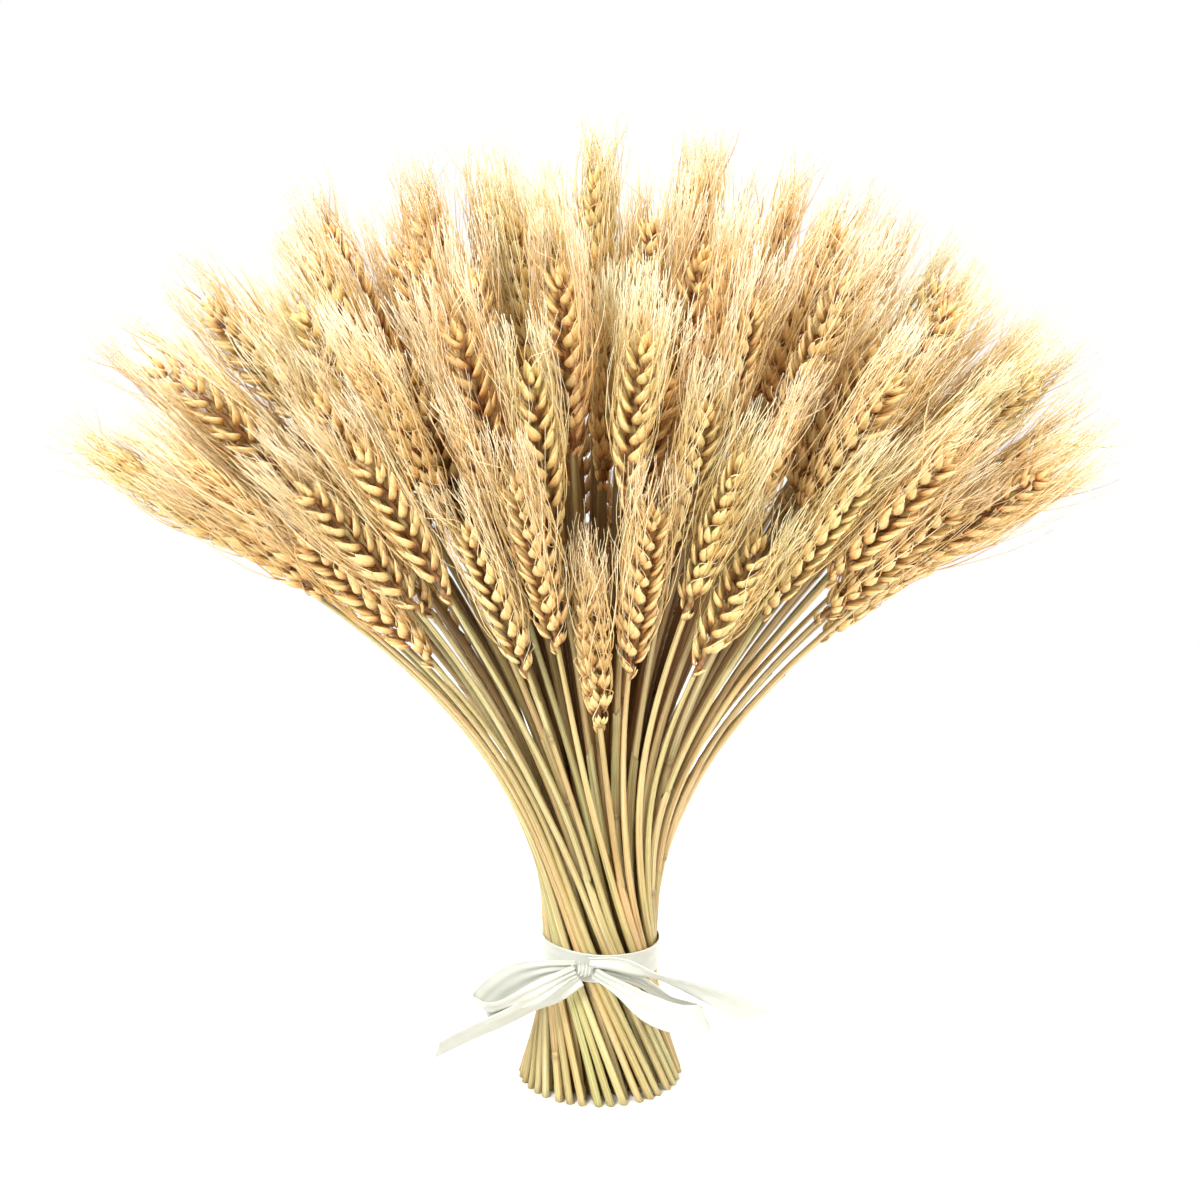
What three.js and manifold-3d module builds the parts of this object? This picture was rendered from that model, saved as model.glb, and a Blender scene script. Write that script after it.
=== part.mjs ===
// A standing sheaf of dried bearded wheat: cut stalks, tied at the waist with a satin ribbon in a bow.
// The stalks cross the tie in rings, turn round the middle as in a spiral-tied bunch, and fan out above
// it, wide to the sides and less to the front and back, into a dome of ears. The sheaf stands by itself
// on its level cut ends.
// Millimetres, +Z up, the bow towards -Y. The origin is the middle of the cut ends, on the surface that
// the sheaf stands on.
import * as THREE from "three";
import { mergeVertices } from "three/addons/utils/BufferGeometryUtils.js";
import Module from "manifold-3d";

// ---- The bunch ----
const TIE_HEIGHT = 59; // middle of the ribbon above the cut ends
const RING_STEP = 3.85; // from ring to ring at the tie
const RING_COUNTS = [1, 6, 12, 18, 24, 30, 36]; // stalks in each ring, from the middle out
const GROUP_COUNTS = [1, 2, 2, 2, 3, 3, 3]; // neighbours of a ring that are pressed together into one node
const LAST_RING = RING_COUNTS.length - 1;
const RING_TURN = 2.46; // from one ring's first group to the next one's, in radians
const PRESSED = 3.1; // between the middles of two neighbours of a group at the tie
const TWIST = -0.0185; // turn about the middle for each millimetre of height at the tie, in radians
const TWIST_FADE = 50; // length over which the turn dies away above the tie

// ---- The fan above the tie ----
const FAN_ANGLE = THREE.MathUtils.degToRad(55.5); // lean that the outer stalks end with
const FAN_LENGTH = 100; // length over which a stalk takes most of its lean
const FAN_POWER = 1.42;
const FLATNESS = 0.4; // lean to the front and back, as a share of the lean to the sides
const FAR_UP = 1000; // a length at which nothing turns any more
const MOST_SPIN = THREE.MathUtils.degToRad(40); // of an ear's files of spikelets from the bunch's broad way
const PARTING = 110; // length over which pressed neighbours part
const ARC_STEP = 2; // step of the sums along a stalk
const SCATTER = 0.24; // share of the gap between neighbours that a stalk may stray, round and across

// ---- A stalk ----
const STEM_RADIUS = 1.8; // at the tie and below
const NECK_RADIUS = 1.15; // under the ear
const TIP_MIDDLE = 336; // from the tie to the tips of the longest ears in the middle
const TIP_SIDES = 300; // the same of the outer ring, at the sides
const TIP_FRONT = 246; // and at the front and back
const DOME_POWER = 3.5; // the higher, the longer the stalks between the middle and the outer ring
const SHORTER = 60; // the most that another stalk is shorter
const SHORTER_POWER = 1.6; // the higher, the fewer are much shorter
const GOLDEN = 0.618034; // spreads the lengths evenly over the rings
const EAR_LENGTH = [68, 86];
const EAR_ROWS = 8; // rows of the ear; each but the last has a spikelet, on one side and then the other
const SPIKELET_REACH = 6.6; // from the ear's middle to a spikelet's tip
const SPIKELET_RISE = 0.62; // how far the tip stands above its row, in rows
const EAR_FACE = 4.3; // half thickness of the ear across its two files of spikelets
const EAR_NOTCH = 2.9; // from the ear's middle to the hollow between two spikelets of a file
const EAR_WAVE = [0.14, 0.9]; // shares of a half wave that the ear's width follows, from its base to its end
const EAR_FULLNESS = 0.7; // the lower, the fuller the ear stays towards both ends
const SIDES = 4;
const STEM_BENDS = [0, 36, 82]; // lengths above the tie at which every stem bends
const OUTER_BEND = 134; // one more, of the stems that lean most
const MUCH_LEANT = 0.6; // the least lean of such a stem, as a share of the fan's

// ---- Awns ----
const AWNED_ROWS = [1, 4, 5]; // rows whose spikelet bears an awn, beside the one on the ear's end
const AWN_LENGTH = [46, 60];
const AWN_BEYOND = 22; // the most that an awn stands past the ear's end
const AWN_RADIUS = 0.45; // at its root
const AWN_SPREAD = 8; // how far its tip stands out past its spikelet's tip
const AWN_SWAY = [0.45, 0.85]; // turn of its tip from its spikelet, clear of the next one, in radians
const AWN_ROOM = 1; // left free between an awn's tip and the edge of its stalk's room

// ---- The ribbon ----
const RIBBON_WIDTH = 12.7;
const RIBBON_THICK = 0.9;
const BAND_INNER = 25.8;
const BAND_STEPS = 20;
const BAND_TILT = THREE.MathUtils.degToRad(2.8); // its right side hangs lower
const PINCHED_WIDTH = 5; // of the ribbon where it leaves the knot
const PINCH_END = 0.3; // share of a loop or tail over which it widens
const KNOT_MIDDLE = [-6.4, -29.1, 60.4];
const KNOT_SIZE = [3.4, 2.6, 3.2]; // half sizes
const KNOT_FACES = [7, 5]; // round it and from pole to pole
const LOOP_LEFT = [
  [-10.4, -28.4, 61.2], [-23, -28.9, 59.8], [-36, -29.4, 57], [-46, -31, 52.8], [-51.4, -34.6, 49.6],
  [-48, -38.2, 48.7], [-38, -39.3, 50.9], [-27, -38, 54.6], [-17, -34.6, 58.4], [-10.4, -31.2, 60.6],
];
const LOOP_RIGHT = [
  [-2.4, -28.4, 60.2], [5, -29.2, 58.8], [17, -30, 55.2], [29, -31, 47.4], [39, -33, 42.2],
  [44.6, -36.2, 40], [41, -39.4, 39.6], [31, -40.4, 41.2], [20, -39.4, 46], [9.5, -36, 53.6],
  [-2.4, -31.4, 59.6],
];
const TAIL_LEFT = [
  [-8, -30, 55.6], [-16, -31.4, 51.2], [-27, -33.2, 47.2], [-42, -35.4, 40], [-55, -36, 34], [-69, -35.6, 26.6],
];
const TAIL_RIGHT = [
  [-4.6, -31.6, 64.4], [8, -36.4, 65.4], [23, -39, 61.8], [42, -39, 55], [56, -37.6, 48.4], [65, -36, 42],
];
const LOOP_STEPS = 11;
const TAIL_STEPS = 7;
const TAIL_LEAN = THREE.MathUtils.degToRad(35); // of a tail's width from the upright
const BACK_OF_BOX = 3; // among the six groups of a box's faces

const AWN_DRAWS = 10; // first of the uses that the awns' lengths are drawn by
const SWAY_DRAWS = 30; // and that their sways are
const WELD = 1e-4; // points nearer than this are one

const wasm = await Module();
wasm.setup();

// A number from 0 to 1 that stays the same for one stalk and one use. A stalk's uses are its lean, its
// ear's length, its straying and its spin, then one for each awn's length and one for each awn's sway.
function draw(stalk, use) {
  let h = Math.imul(stalk + 1, 0x9e3779b1) ^ Math.imul(use + 1, 0x85ebca6b);
  h = Math.imul(h ^ (h >>> 15), 0x2c1b3c6d);
  h = Math.imul(h ^ (h >>> 12), 0x297a2d39);
  return ((h ^ (h >>> 15)) >>> 0) / 4294967296;
}

const mix = (a, b, t) => a + (b - a) * t;

// ---- Where each stalk runs ----

function makeStalk(number, ring, place) {
  const count = RING_COUNTS[ring];
  const group = GROUP_COUNTS[ring];
  const share = ring / LAST_RING;
  const stalk = {
    number,
    ring,
    count,
    radius: ring * RING_STEP,
    lean: share + (ring ? ((draw(number, 1) - 0.5) * SCATTER) / LAST_RING : 0),
    groupAngle: ((Math.floor(place / group) + 0.5) * group * 2 * Math.PI) / count + ring * RING_TURN,
    side: (place % group) - (group - 1) / 2,
    stray: ((draw(number, 3) - 0.5) * SCATTER * 2 * Math.PI) / count,
  };
  const last = angleAt(stalk, FAR_UP);
  const way = new THREE.Vector2(Math.cos(last), FLATNESS * Math.sin(last));
  const outer = mix(TIP_FRONT, TIP_SIDES, Math.cos(last) ** 2);
  stalk.lean *= way.length();
  stalk.way = way.normalize();
  stalk.tip = mix(TIP_MIDDLE, outer, Math.pow(share, DOME_POWER));
  stalk.tip -= SHORTER * Math.pow((number * GOLDEN) % 1, SHORTER_POWER);
  stalk.earLength = mix(EAR_LENGTH[0], EAR_LENGTH[1], draw(number, 2));
  stalk.earStart = stalk.tip - stalk.earLength;
  stalk.spin = spinOf(stalk);
  return stalk;
}

// Turn of the ear's files from the way out, so that they lie along the bunch's broad way, give or take.
function spinOf(stalk) {
  const { round, out } = frameAt(stalk, stalk.earStart);
  const wanted = (draw(stalk.number, 4) - 0.5) * 2 * MOST_SPIN;
  const spin = Math.atan2(round.x, out.x) + wanted;
  return spin - Math.PI * Math.round(spin / Math.PI);
}

// Lean of an outer stalk at a length above the tie.
const fanAngle = (length) => FAN_ANGLE * (1 - Math.exp(-Math.pow(length / FAN_LENGTH, FAN_POWER)));

// How far the stalk has leant out, its height, and the room that it has to its sides and to its front
// and back, at a length above the tie. Below the tie, where the length is a negative height, it is straight.
function runAt(stalk, length) {
  let leant = 0;
  let height = TIE_HEIGHT + Math.min(length, 0);
  let opened = 0;
  for (let from = 0; from < length; from += ARC_STEP) {
    const step = Math.min(ARC_STEP, length - from);
    const angle = fanAngle(from + step / 2);
    leant += Math.sin(angle * stalk.lean) * step;
    height += Math.cos(angle * stalk.lean) * step;
    opened += angle * step;
  }
  const room = [1, FLATNESS].map((share) => ((RING_STEP + (share * opened) / LAST_RING) * (1 - SCATTER)) / 2);
  return { leant, height, room };
}

// The stalk's angle about the middle: its group's, its own place in the group, and the turn of the bunch.
function angleAt(stalk, length) {
  const turned = TWIST * TWIST_FADE * (1 - Math.exp(-length / TWIST_FADE));
  const turn = length > 0 ? turned : Math.atan(TWIST * length);
  if (!stalk.ring) return turn;
  const open = THREE.MathUtils.smoothstep(Math.abs(length), 0, PARTING);
  const step = mix(PRESSED / stalk.radius, (2 * Math.PI) / stalk.count, open);
  return stalk.groupAngle + stalk.side * step + stalk.stray * open + turn;
}

function pointAt(stalk, length) {
  const { leant, height } = runAt(stalk, length);
  const angle = angleAt(stalk, length);
  const radius = stalk.radius * (length < 0 ? Math.hypot(1, TWIST * length) : 1);
  const point = new THREE.Vector3(radius * Math.cos(angle), radius * Math.sin(angle), height);
  point.x += leant * stalk.way.x;
  point.y += leant * stalk.way.y;
  return point;
}

// The point, with the way along the stalk, the way round the bunch, and the way out from it.
function frameAt(stalk, length) {
  const nudge = 0.5;
  const along = pointAt(stalk, length + nudge).sub(pointAt(stalk, length - nudge)).normalize();
  const angle = angleAt(stalk, length);
  const round = new THREE.Vector3(-Math.sin(angle), Math.cos(angle), 0);
  round.addScaledVector(along, -round.dot(along)).normalize();
  return { point: pointAt(stalk, length), along, round, out: round.clone().cross(along) };
}

// A point beside the stalk: turned from the way out, at a reach from its middle, risen along it.
function beside({ point, along, round, out }, turn, reach, rise = 0) {
  const to = point.clone().addScaledVector(along, rise);
  return to.addScaledVector(out, Math.cos(turn) * reach).addScaledVector(round, Math.sin(turn) * reach);
}

// ---- Solids ----

// Moves each point of a straight geometry.
function reshape(geometry, move) {
  const points = geometry.attributes.position;
  const p = new THREE.Vector3();
  for (let k = 0; k < points.count; k++) {
    const moved = move(p.fromBufferAttribute(points, k));
    points.setXYZ(k, moved.x, moved.y, moved.z);
  }
  return geometry;
}

function solid(geometry) {
  geometry.deleteAttribute("normal");
  geometry.deleteAttribute("uv");
  const merged = mergeVertices(geometry, WELD);
  const vertProperties = new Float32Array(merged.attributes.position.array);
  const triVerts = new Uint32Array(merged.index.array);
  return new wasm.Manifold(new wasm.Mesh({ numProp: 3, vertProperties, triVerts }));
}

function geometryOf(made) {
  const { vertProperties, triVerts, numProp } = made.getMesh();
  const points = [];
  for (const k of triVerts) points.push(...vertProperties.subarray(k * numProp, k * numProp + 3));
  const geometry = new THREE.BufferGeometry();
  geometry.setAttribute("position", new THREE.Float32BufferAttribute(points, 3));
  geometry.computeVertexNormals();
  return geometry;
}

// ---- A stalk's stem, ear and awns ----

const earWidth = (t) => Math.pow(Math.sin(Math.PI * mix(EAR_WAVE[0], EAR_WAVE[1], t)), EAR_FULLNESS);

const hasSpikelet = (row, side) => row > 0 && row < EAR_ROWS && side === (row % 2 ? 0 : 2);

const rowLength = (stalk, row) => stalk.earStart + (stalk.earLength * row) / EAR_ROWS;

// The level cut end: a point of the stem's last row, slid along the stem to the ground.
function footPoint(stalk, turn, reach) {
  const frame = frameAt(stalk, 1 - TIE_HEIGHT);
  const p = beside(frame, turn, reach);
  p.addScaledVector(frame.along, -p.z / frame.along.z);
  return p.setZ(0);
}

function stemPoint(stalk, length, turn) {
  const share = THREE.MathUtils.smoothstep(length, 0, stalk.earStart);
  return beside(frameAt(stalk, length), turn + stalk.spin * share, mix(STEM_RADIUS, NECK_RADIUS, share));
}

function earPoint(stalk, row, side, reach) {
  const frame = frameAt(stalk, rowLength(stalk, row));
  const turn = (side * Math.PI) / 2 + stalk.spin;
  const width = earWidth(row / EAR_ROWS) * reach;
  if (!hasSpikelet(row, side)) return beside(frame, turn, (side % 2 ? EAR_FACE : EAR_NOTCH) * width);
  return beside(frame, turn, SPIKELET_REACH * width, (SPIKELET_RISE * stalk.earLength) / EAR_ROWS);
}

// A closed surface, built up face by face.
class Skin {
  points = [];
  faces = [];

  add(point) {
    return this.points.push(point) - 1;
  }

  // Bands of faces between the rows of four points. No band's diagonal meets a spikelet's tip, so that the
  // tip's neighbours are the four points of its awn's loop.
  wrap(rows, isTip, isOpen) {
    for (let row = 0; row + 1 < rows.length; row++) {
      for (let side = 0; side < SIDES; side++) {
        const next = (side + 1) % SIDES;
        const corners = [[row, side], [row, next], [row + 1, next], [row + 1, side]];
        const turned = isTip(...corners[0]) || isTip(...corners[2]) ? 1 : 0;
        for (const pick of [[0, 1, 2], [0, 2, 3]]) {
          const face = pick.map((k) => corners[(k + turned) % 4]);
          if (!face.some(([r, s]) => isOpen(r, s))) this.faces.push(face.map(([r, s]) => rows[r][s]));
        }
      }
    }
  }

  // A needle that grows from a loop of four points, through a small triangle at its root, to its tip.
  // The triangle's first corner looks away from the loop's third point, so that no two faces cross.
  needle(loop, root, tip) {
    const way = tip.clone().sub(root).normalize();
    const first = root.clone().sub(this.points[loop[2]]).projectOnPlane(way).normalize();
    const second = way.clone().cross(first);
    const [e, f, g] = [0, 1, 2].map((k) => {
      const a = (k * 2 * Math.PI) / 3;
      const p = root.clone().addScaledVector(first, Math.cos(a) * AWN_RADIUS);
      return this.add(p.addScaledVector(second, Math.sin(a) * AWN_RADIUS));
    });
    const end = this.add(tip);
    const [a, b, c, d] = loop;
    this.faces.push([a, b, e], [b, f, e], [b, c, f], [c, g, f], [c, d, g], [d, e, g], [d, a, e]);
    this.faces.push([e, f, end], [f, g, end], [g, e, end]);
  }

  geometry() {
    const geometry = new THREE.BufferGeometry().setFromPoints(this.points);
    return geometry.setIndex(this.faces.flat());
  }
}

// How far a stalk's room reaches on one side, at a length above the tie.
function roomToward(stalk, length, turn) {
  const [sides, front] = runAt(stalk, length).room;
  const frame = frameAt(stalk, length);
  const way = beside(frame, turn, 1).sub(frame.point);
  return 1 / Math.hypot(way.x / sides, way.y / front, way.z / sides);
}

// The far end of the awn that grows from a row's spikelet, or from the ear's end. It sways to the side
// that has more room.
function awnTip(stalk, row) {
  const wanted = mix(AWN_LENGTH[0], AWN_LENGTH[1], draw(stalk.number, AWN_DRAWS + row));
  const length = Math.min(rowLength(stalk, row + SPIKELET_RISE) + wanted, stalk.tip + AWN_BEYOND);
  const spread = row < EAR_ROWS ? SPIKELET_REACH * earWidth(row / EAR_ROWS) + AWN_SPREAD : 0;
  const sway = mix(AWN_SWAY[0], AWN_SWAY[1], draw(stalk.number, SWAY_DRAWS + row));
  const turns = [-sway, sway].map((turned) => (row % 2 ? 0 : Math.PI) + stalk.spin + turned);
  const rooms = turns.map((turn) => roomToward(stalk, length, turn));
  const room = Math.max(...rooms);
  return beside(frameAt(stalk, length), turns[rooms.indexOf(room)], Math.min(spread, room - AWN_ROOM));
}

// A stalk in one piece: the level cut end, the stem, the ear's rows of spikelets, and the awns.
function stalkGeometry(stalk) {
  const skin = new Skin();
  const turns = Array.from({ length: SIDES }, (_, side) => (side * 2 * Math.PI) / SIDES);
  const bends = [...STEM_BENDS, ...(stalk.lean < MUCH_LEANT ? [] : [OUTER_BEND]), stalk.earStart];
  const rows = [turns.map((turn) => footPoint(stalk, turn, STEM_RADIUS))];
  for (const length of bends) rows.push(turns.map((turn) => stemPoint(stalk, length, turn)));
  const ear = rows.length - 1; // the row that the ear starts from
  for (let k = 1; k < EAR_ROWS; k++) rows.push(turns.map((turn, side) => earPoint(stalk, k, side, 1)));
  const marks = rows.map((row) => row.map((point) => skin.add(point)));

  const isTip = (row, side) => hasSpikelet(row - ear, side);
  const isAwned = (row, side) => isTip(row, side) && AWNED_ROWS.includes(row - ear);
  skin.wrap(marks, isTip, isAwned);
  for (const row of AWNED_ROWS) {
    const side = row % 2 ? 0 : 2;
    const at = ear + row;
    const [before, after] = [marks[at][(side + 3) % SIDES], marks[at][side + 1]];
    const loop = [marks[at - 1][side], after, marks[at + 1][side], before];
    skin.needle(loop, rows[at][side], awnTip(stalk, row));
  }
  skin.faces.push([marks[0][0], marks[0][2], marks[0][1]], [marks[0][0], marks[0][3], marks[0][2]]);
  skin.needle(marks[marks.length - 1], pointAt(stalk, stalk.tip), awnTip(stalk, EAR_ROWS));
  return skin.geometry();
}

// ---- The ribbon's pieces ----

function ribbonBand() {
  const half = RIBBON_WIDTH / 2;
  const outer = BAND_INNER + RIBBON_THICK;
  const corners = [[BAND_INNER, -half], [outer, -half], [outer, half], [BAND_INNER, half], [BAND_INNER, -half]];
  const profile = corners.map(([r, y]) => new THREE.Vector2(r, y));
  return new THREE.LatheGeometry(profile, BAND_STEPS).rotateX(Math.PI / 2);
}

function bowKnot() {
  return new THREE.SphereGeometry(1, ...KNOT_FACES).rotateX(Math.PI / 2).scale(...KNOT_SIZE);
}

// Splits the faces of a box's back along their other diagonals, so that front and back are split alike.
function splitAlike(box) {
  const { start, count } = box.groups[BACK_OF_BOX];
  for (let k = start; k < start + count; k += 6) {
    const [first, fourth] = [box.index.getX(k), box.index.getX(k + 4)];
    box.index.setX(k + 2, fourth);
    box.index.setX(k + 3, first);
  }
  return box;
}

// A ribbon along a curve: a long box, bent onto it. It is pinched where it leaves the knot, and its
// width leans from the upright.
function ribbonAlong(places, steps, isLoop, lean = 0) {
  const curve = new THREE.CatmullRomCurve3(places.map((p) => new THREE.Vector3(...p)), false, "centripetal");
  return reshape(splitAlike(new THREE.BoxGeometry(1, 1, 1, 1, 1, steps)), (p) => {
    const t = p.z + 0.5;
    const along = curve.getTangentAt(t);
    const up = new THREE.Vector3(0, 0, 1).addScaledVector(along, -along.z).normalize();
    const face = along.clone().cross(up);
    const fromKnot = isLoop ? Math.min(t, 1 - t) : t;
    const width = mix(PINCHED_WIDTH, RIBBON_WIDTH, THREE.MathUtils.smoothstep(fromKnot, 0, PINCH_END));
    const tilt = lean * THREE.MathUtils.smoothstep(t, 0, PINCH_END);
    const w = p.x * width;
    const d = p.y * RIBBON_THICK;
    return curve
      .getPointAt(t)
      .addScaledVector(up, w * Math.cos(tilt) + d * Math.sin(tilt))
      .addScaledVector(face, d * Math.cos(tilt) - w * Math.sin(tilt));
  });
}

// ---- The scene ----

const STRAW = [0xd8bd7a, 0xcdbf88, 0xdcb273, 0xe2cb92].map(
  (color) => new THREE.MeshStandardMaterial({ color, roughness: 0.6, metalness: 0 }),
);
const SATIN = new THREE.MeshStandardMaterial({ color: 0xf3f0de, roughness: 0.35, metalness: 0 });

const sheaf = new THREE.Group();
sheaf.name = "wheat_sheaf";

function addNode(name, geometry, material) {
  const mesh = new THREE.Mesh(geometry, material);
  mesh.name = name;
  sheaf.add(mesh);
  return mesh;
}

// The neighbours of a ring that the ribbon presses together are one node, joined where they touch.
function addStalks() {
  let number = 0;
  let node = 0;
  RING_COUNTS.forEach((count, ring) => {
    for (let first = 0; first < count; first += GROUP_COUNTS[ring]) {
      const made = [];
      for (let k = 0; k < GROUP_COUNTS[ring]; k++) {
        made.push(solid(stalkGeometry(makeStalk(number, ring, first + k))));
        number += 1;
      }
      node += 1;
      const name = "stalks_" + String(node).padStart(2, "0");
      addNode(name, geometryOf(wasm.Manifold.union(made)), STRAW[node % STRAW.length]);
    }
  });
}

function addRibbon() {
  const band = addNode("ribbon_band", geometryOf(solid(ribbonBand())), SATIN);
  band.position.z = TIE_HEIGHT;
  band.rotation.y = BAND_TILT;
  const knot = addNode("bow_knot", geometryOf(solid(bowKnot())), SATIN);
  knot.position.set(...KNOT_MIDDLE);
  addNode("bow_loop_left", geometryOf(solid(ribbonAlong(LOOP_LEFT, LOOP_STEPS, true))), SATIN);
  addNode("bow_loop_right", geometryOf(solid(ribbonAlong(LOOP_RIGHT, LOOP_STEPS, true))), SATIN);
  addNode("bow_tail_left", geometryOf(solid(ribbonAlong(TAIL_LEFT, TAIL_STEPS, false, -TAIL_LEAN))), SATIN);
  addNode("bow_tail_right", geometryOf(solid(ribbonAlong(TAIL_RIGHT, TAIL_STEPS, false, TAIL_LEAN))), SATIN);
}

addStalks();
addRibbon();

export default sheaf;
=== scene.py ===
"""A standing sheaf of dried bearded wheat, tied with a satin ribbon: its looks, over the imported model.

Every stalk runs where the source of the solids puts it. A stalk is a hollow straw with its joint and
sheath, a zigzag rachis, two files of spikelets, each with its glumes and lemmas, and long awns.
Lengths are millimetres in the making and metres in the scene.
"""

import math

import bpy
import numpy as np
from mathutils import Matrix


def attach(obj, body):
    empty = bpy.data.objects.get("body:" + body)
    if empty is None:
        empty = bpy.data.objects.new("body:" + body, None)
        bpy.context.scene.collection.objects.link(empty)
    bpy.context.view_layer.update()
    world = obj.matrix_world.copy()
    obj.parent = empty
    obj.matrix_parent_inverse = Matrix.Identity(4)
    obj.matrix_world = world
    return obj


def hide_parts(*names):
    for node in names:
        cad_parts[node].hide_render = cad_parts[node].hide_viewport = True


MM = 0.001

# ---- The bunch: the same rule and numbers as in the source of the solids ----

TIE_HEIGHT = 59.0
RING_STEP = 3.85  # from ring to ring of stalks, at the tie
RING_COUNTS = [1, 6, 12, 18, 24, 30, 36]
GROUP_COUNTS = [1, 2, 2, 2, 3, 3, 3]  # stalks to a node, in each ring
LAST_RING = len(RING_COUNTS) - 1
RING_TURN = 2.46
PRESSED = 3.1  # between the stalks of a node, at the tie
PARTING = 110.0  # from the tie to where they stand evenly in their ring
TWIST = -0.0185  # radians to a millimetre, at the tie
TWIST_FADE = 50.0
FAN_ANGLE = math.radians(55.5)  # that the outermost stalks come to lean by
FAN_LENGTH = 100.0
FAN_POWER = 1.42
FLATNESS = 0.4  # the fan's depth, as a share of its width
FAR_UP = 1000.0
MOST_SPIN = math.radians(40)  # of an ear, either way
SCATTER = 0.24  # as a share of the step to the next ring, or to the next stalk
TIP_MIDDLE = 336.0  # where the ears end, as lengths above the tie
TIP_SIDES = 300.0
TIP_FRONT = 246.0
DOME_POWER = 3.5
SHORTER = 60.0  # the most by which a stalk falls short of the dome
SHORTER_POWER = 1.6
GOLDEN = 0.618034
EAR_LENGTH = (68.0, 86.0)
AWN_BEYOND = 22.0  # past the ear's end
SLOTS = ["straw_gold", "straw_green", "straw_tan", "straw_pale"]

# ---- A stalk's finer shape ----

RUN_PAST = 32.0  # how far a stalk's line is known past the ear's end
WOBBLE = 1.1
WOBBLE_FROM = (8, 80)  # lengths above the tie over which a stalk comes to wobble
ANY_PHASE = 6.3
NOD = 5.0
NOD_FROM = 20  # below the ear
INNER = (0.05, 0.5)  # share of the way in from the outer ring over which painted shade darkens the stalks within
BELOW_DOME = (40.0, 170.0)  # and the depth below the dome, over which that painted shade comes on
STRAW_GRAIN = 500  # how far along the pattern of a material a straw may start
PART_GRAIN = 900  # and any smaller part

STEM_RADIUS = (1.55, 1.9)
NECK_RADIUS = (1.0, 1.22)
TAPER_FROM = -10  # the length from which a stem thins, up to the ear
INNER_FULLER = 0.55  # how much thicker the inner stems stay at their tops
STEM_SIDES = 8
STEM_STEP = 7.0
HOLLOW = 0.6  # of a cut end's radius
HOLLOW_DEPTH = 9.0
JOINTED = 0.42  # share of the stems that show a joint above the tie
FOOT_JOINTED = 0.54  # and, with those, the share that show one at all
JOINT_ABOVE = (18, 125)
JOINT_BELOW = (-50, -14)
JOINT_SIZE = 1.3
JOINT_SWELL = 0.2
SHEATH_LENGTH = (26, 70)
SHEATH_STEP = 6.0
SHEATH_OVER = 0.24  # past the straw's radius
SHEATH_BROWN = 0.35  # of its torn edge

PITCH = 4.45  # from spikelet to spikelet, on one side and then the other
EAR_FOOT = 5.5  # below the first full spikelet
FACE_ON = 0.45  # share of the ears that turn a file of spikelets to the front
HUSK_SIDES = 8
HUSK_RINGS = [0.05, 0.17, 0.35, 0.56, 0.77, 0.92]
HUSK_TIP = 0.97  # share of a husk's length at which its awn starts
RACHIS_SIDES = 6

AWN_STEPS = np.array([0.0, 0.1, 0.26, 0.44, 0.62, 0.8, 1.0])
AWN_SIDES = 3
AWN_RADIUS = (0.26, 0.1)
AWN_LENGTH = (44, 66)
SHORT_AWNS = (0.12, 0.6)  # their share, and their length as a share
REACH = (2.0, 12.5)  # of the tips, out from the ear
STRAYING = 0.1  # share of the awns that stray further out
STRAY_REACH = (3, 12)
ASIDE_SPREAD = 4.4
TURN_SPREAD = 0.17  # of the way an awn points at its tip
INNER_AWNS = 0.95  # awns of inner florets, for each lemma's own
INNER_ROOT = 2.5
HIGHEST = 422.0  # over the ground, for an awn
DEEPEST = 94.0  # and to the front and back

rng = np.random.default_rng(20)
MASK = 0xFFFFFFFF


def draw(stalk, use):
    """A number from 0 to 1 that stays the same for one stalk and one use."""
    h = ((stalk + 1) * 0x9E3779B1 ^ (use + 1) * 0x85EBCA6B) & MASK
    h = ((h ^ h >> 15) * 0x2C1B3C6D) & MASK
    h = ((h ^ h >> 12) * 0x297A2D39) & MASK
    return (h ^ h >> 15) / (MASK + 1)


def mix(a, b, t):
    return a + (b - a) * t


def smooth(x, lo, hi):
    t = np.clip((np.asarray(x, float) - lo) / (hi - lo), 0, 1)
    return t * t * (3 - 2 * t)


def unit(v):
    return v / np.maximum(np.linalg.norm(v, axis=-1, keepdims=True), 1e-9)


def dot(a, b):
    return (a * b).sum(-1, keepdims=True)


def turns_of(sides):
    """Even angles, once round."""
    return np.arange(sides) * 2 * math.pi / sides


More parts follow.
